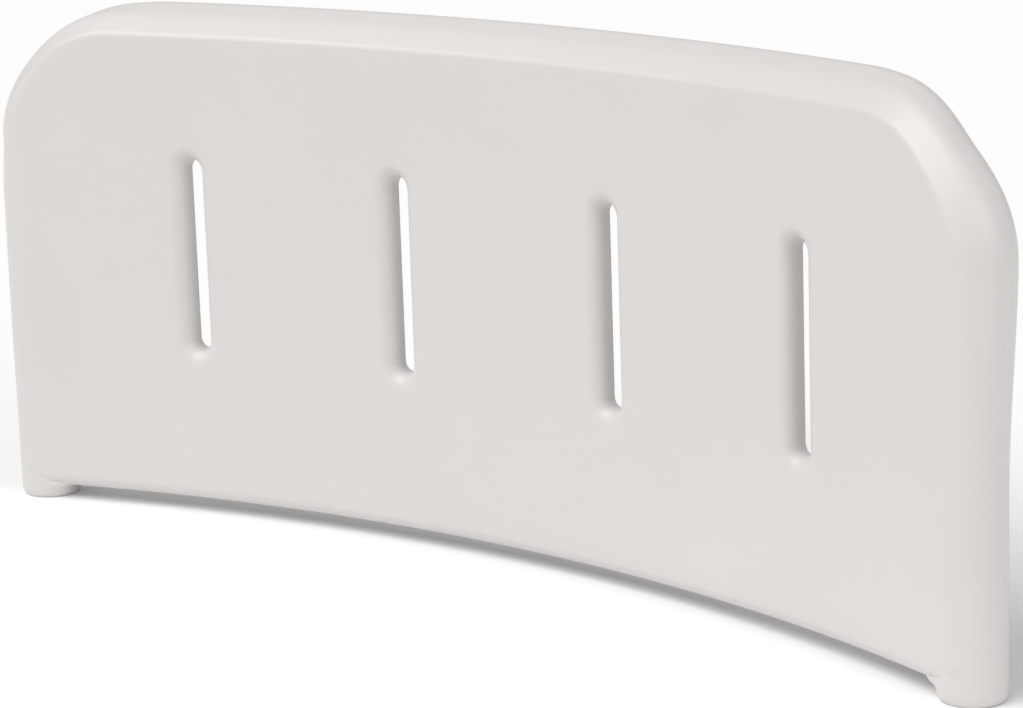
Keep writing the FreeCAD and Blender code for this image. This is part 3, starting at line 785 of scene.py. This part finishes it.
def driving_tree():
    """Geometry nodes that set a screw at each rolled point, facing out along the radius."""
    tree = bpy.data.node_groups.new("drive_screws", "GeometryNodeTree")
    face = tree.interface
    face.new_socket("Geometry", in_out="INPUT", socket_type="NodeSocketGeometry")
    face.new_socket("Screw", in_out="INPUT", socket_type="NodeSocketObject")
    for label in ("Plan radius", "Face setback"):
        face.new_socket(label, in_out="INPUT", socket_type="NodeSocketFloat")
    face.new_socket("Seed", in_out="INPUT", socket_type="NodeSocketInt")
    face.new_socket("Finish", in_out="INPUT", socket_type="NodeSocketMaterial")
    face.new_socket("Geometry", in_out="OUTPUT", socket_type="NodeSocketGeometry")
    nodes, links = tree.nodes, tree.links
    given = nodes.new("NodeGroupInput")
    roll = nodes.new("GeometryNodeGroup")
    roll.node_tree = ROLL
    for label in ("Geometry", "Plan radius", "Face setback", "Finish"):
        links.new(given.outputs[label], roll.inputs[label])
    place = nodes.new("GeometryNodeInputPosition")
    parts = nodes.new("ShaderNodeSeparateXYZ")
    links.new(place.outputs[0], parts.inputs[0])

    def maths(operation, first, second):
        node = nodes.new("ShaderNodeMath")
        node.operation = operation
        for value, socket in ((first, node.inputs[0]), (second, node.inputs[1])):
            if isinstance(value, float):
                socket.default_value = value
            else:
                links.new(value, socket)
        return node.outputs[0]

    forward = maths("SUBTRACT", parts.outputs["Y"], given.outputs["Face setback"])
    reach = maths("ADD", forward, given.outputs["Plan radius"])
    angle = maths("MULTIPLY", maths("ARCTAN2", parts.outputs["X"], reach), -1.0)
    facing = nodes.new("ShaderNodeCombineXYZ")
    facing.inputs["X"].default_value = -math.pi / 2
    links.new(angle, facing.inputs["Z"])
    upright = nodes.new("FunctionNodeEulerToRotation")
    links.new(facing.outputs[0], upright.inputs[0])
    chance = nodes.new("FunctionNodeRandomValue")
    chance.data_type = "FLOAT"
    chance.inputs[3].default_value = 2 * math.pi
    links.new(given.outputs["Seed"], chance.inputs["Seed"])
    spin = nodes.new("ShaderNodeCombineXYZ")
    links.new(chance.outputs[1], spin.inputs["Z"])
    spun = nodes.new("FunctionNodeEulerToRotation")
    links.new(spin.outputs[0], spun.inputs[0])
    turn = nodes.new("FunctionNodeRotateRotation")
    turn.rotation_space = "LOCAL"
    links.new(upright.outputs[0], turn.inputs[0])
    links.new(spun.outputs[0], turn.inputs[1])
    pattern = nodes.new("GeometryNodeObjectInfo")
    links.new(given.outputs["Screw"], pattern.inputs["Object"])
    driven = nodes.new("GeometryNodeInstanceOnPoints")
    links.new(roll.outputs[0], driven.inputs["Points"])
    links.new(pattern.outputs["Geometry"], driven.inputs["Instance"])
    links.new(turn.outputs[0], driven.inputs["Rotation"])
    real = nodes.new("GeometryNodeRealizeInstances")
    links.new(driven.outputs[0], real.inputs[0])
    finish = nodes.new("GeometryNodeSetMaterial")
    links.new(real.outputs[0], finish.inputs["Geometry"])
    links.new(given.outputs["Finish"], finish.inputs["Material"])
    result = nodes.new("NodeGroupOutput")
    links.new(finish.outputs[0], result.inputs[0])
    return tree


def plain_stainless(name):
    """Cold-headed stainless: fine scratches and duller patches."""
    finish = Finish(name, Metallic=1.0)
    scratches = finish.noise(0.25, detail=5.0, rough=0.7)
    patches = finish.noise(2.2, detail=3.0)
    finish.colour(finish.between((0.46, 0.455, 0.445), (0.66, 0.655, 0.645), patches))
    finish.rough(finish.between(0.24, 0.46, scratches * 0.6 + patches * 0.4))
    finish.relief(scratches, 0.01, 0.5)
    return finish.material


DRIVE = driving_tree()
stainless = plain_stainless("plain_stainless")


def screws(node, places, length, seed):
    """The screws of one CAD node, driven in at (arc, depth, height) places."""
    pattern = screw_mesh(f"{node}_pattern", length)
    points = bpy.data.meshes.new(f"{node}_points")
    points.from_pydata([Vector(place) * MM for place in places], [], [])
    holder = bpy.data.objects.new(f"{node}_points", points)
    bpy.context.collection.objects.link(holder)
    drive = holder.modifiers.new("drive", "NODES")
    drive.node_group = DRIVE
    set_inputs(drive, {"Screw": pattern, "Plan radius": FACE_RADIUS * MM,
                       "Face setback": FACE_SETBACK * MM, "Seed": seed, "Finish": stainless})
    made = baked(holder, f"{node}_driven")
    bpy.data.objects.remove(pattern)
    smooth_to(made, 35)
    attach(made, "root")
    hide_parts(node)


clip_places = [(arc, CLIP_SCREW_DEPTH, CLIP_SCREW_HEIGHT)
               for arc in (-CLIP_SCREW_ARC, 0.0, CLIP_SCREW_ARC)]
tube_places = [(side * SLEEVE_ARC, END_DEPTH, TUBE_SCREW_HEIGHT) for side in (-1, 1)]
screws("clip_screws", clip_places, CLIP_SCREW_LENGTH, seed=3)
screws("tube_screws", tube_places, TUBE_SCREW_LENGTH, seed=5)

# ------------------------------------------------------------ rear cover
# The closing half of the moulding, in the same white plastic. It drops into
# the seam behind the rim, steps forward to a level field and meets the front
# shell at the pinch of each slot.
COVER_GAP = 0.15
REAR_FLARE, REAR_ROUND = 10.5, 3.5
LEDGE_RADIUS = 78.0
STEP_INSETS = (29.0, 29.9, 30.8, 31.75, 32.7, 33.6, 34.5)


def cover_skin():
    """The outside of the rear cover, flat: rim edge, step, field and slot flares."""
    cover = Moulding()
    low = FOOT_SEAM + COVER_GAP

    def line(stations, inset, pull):
        row = []
        for station in stations:
            arc, height = station.inward(inset + pull * station.corner)
            row.append((arc, back_depth(inset, station.depth), max(height, low)))
        return row

    ledge = closed_round(upper_stations(low, LEDGE_RADIUS))
    steps = [line(ledge, inset, 0.0) for inset in STEP_INSETS]
    outer = line(closed_round(upper_stations(low)), SEAM_INSET + COVER_GAP, CORNER_PULL)
    foot_arcs = [row[0][0] for row in reversed(steps)]
    foot = [-arc for arc in reversed(foot_arcs)]
    foot += spread(-foot_arcs[0] + 6.0, foot_arcs[0], 6.0) + foot_arcs
    border = outer + [(arc, back_depth(HALF_ARC - abs(arc), END_DEPTH), low) for arc in foot]
    pinch = Vector((0.0, PINCH_DEPTH + COVER_GAP))
    lip = Vector((REAR_FLARE, FIELD_DEPTH))
    flare = bend(pinch, lip, lip + Vector((9.0, 0.0)), REAR_ROUND, 9)
    mouths = cover.slots([tuple(p) for p in reversed(flare)] + [tuple(pinch)])
    field = [(arc, height) for arc, depth, height in steps[-1]]
    edge = cover.ring(border)
    creases = [cover.ring(row) for row in steps]
    cover.sheet(edge, mouths, creases, field, FIELD_DEPTH, FIELD_GRID)
    return cover.flat_object("rear_cover_flat", (0, 1, 0))


cover_white = white_moulding("satin_white_cover", 0.7)
rear = rolled(cover_skin(), "rear_cover_moulding", cover_white, wall=WALL)
smooth_to(rear, 40)
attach(rear, "root")
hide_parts("rear_cover")

# ------------------------------------------------------------ cover screws
# Ten of the same screws, a little longer, along the top and the bottom of
# the rear cover, into posts behind the face.
COVER_SCREW_ARCS = (-205.0, -112.0, 0.0, 112.0, 205.0)
COVER_SCREW_HEIGHTS = (TOP - 42.0, SLEEVE_DROP + 24.0)
COVER_SCREW_LENGTH = 9.4
cover_places = [(arc, FIELD_DEPTH, height)
                for height in COVER_SCREW_HEIGHTS for arc in COVER_SCREW_ARCS]
screws("cover_screws", cover_places, COVER_SCREW_LENGTH, seed=11)

# ------------------------------------------------------------ floor and light
# A plain pale floor and soft light all round, as on a product table: a broad
# key from the front left and above, and a weaker one low down on the right.
FLOOR_HALF = 6.0
floor_mesh = bpy.data.meshes.new("floor")
floor_mesh.from_pydata([(FLOOR_HALF * x, FLOOR_HALF * y, 0)
                        for x, y in ((-1, -1), (1, -1), (1, 1), (-1, 1))], [], [(0, 1, 2, 3)])
floor = bpy.data.objects.new("floor", floor_mesh)
bpy.context.collection.objects.link(floor)
paper = Finish("pale_paper", Roughness=0.9)
paper.colour(paper.between((0.92, 0.92, 0.92), (0.935, 0.935, 0.935), paper.noise(200.0)))
floor.data.materials.append(paper.material)

sky = bpy.data.worlds.new("studio")
sky.use_nodes = True
all_round = sky.node_tree.nodes["Background"]
all_round.inputs["Color"].default_value = (1.0, 1.0, 1.0, 1)
all_round.inputs["Strength"].default_value = 0.46
bpy.context.scene.world = sky


def wide_light(name, turn, lift, spread_angle, strength):
    """A broad, even light from a direction: degrees round from the front, and up."""
    lamp = bpy.data.lights.new(name, "SUN")
    lamp.angle = math.radians(spread_angle)
    lamp.energy = strength
    made = bpy.data.objects.new(name, lamp)
    made.rotation_euler = (math.radians(90 - lift), 0, math.radians(turn))
    bpy.context.collection.objects.link(made)


wide_light("key", -24, 55, 50, 2.0)
wide_light("fill", 82, 25, 36, 0.7)
bpy.context.scene.view_settings.view_transform = "Standard"

# ------------------------------------------------------------ camera
# It stands before the panel, to the right and a little above, with a long
# lens, and looks at the middle of the face.
TURN, LIFT, TILT = math.radians(41.299), math.radians(13.559), math.radians(-1.949)
DISTANCE = 1462.8
SENSOR, FOCAL_LENGTH = 36.0, 123.5437
aim = Vector((1.1, FACE_SETBACK, SLEEVE_DROP + 81.1)) * MM
back = Vector((math.sin(TURN) * math.cos(LIFT), -math.cos(TURN) * math.cos(LIFT), math.sin(LIFT)))
right = Vector((math.cos(TURN), math.sin(TURN), 0))
up = back.cross(right)
turned_right = right * math.cos(TILT) + up * math.sin(TILT)
turned_up = up * math.cos(TILT) - right * math.sin(TILT)
lens = bpy.data.cameras.new("camera")
lens.sensor_width = SENSOR
lens.lens = FOCAL_LENGTH
lens.shift_x = 0.0057
lens.shift_y = 0.0104
camera = bpy.data.objects.new("camera", lens)
axes = Matrix((turned_right, turned_up, back)).transposed().to_4x4()
camera.matrix_world = Matrix.Translation(aim + back * DISTANCE * MM) @ axes
bpy.context.collection.objects.link(camera)
bpy.context.scene.camera = camera
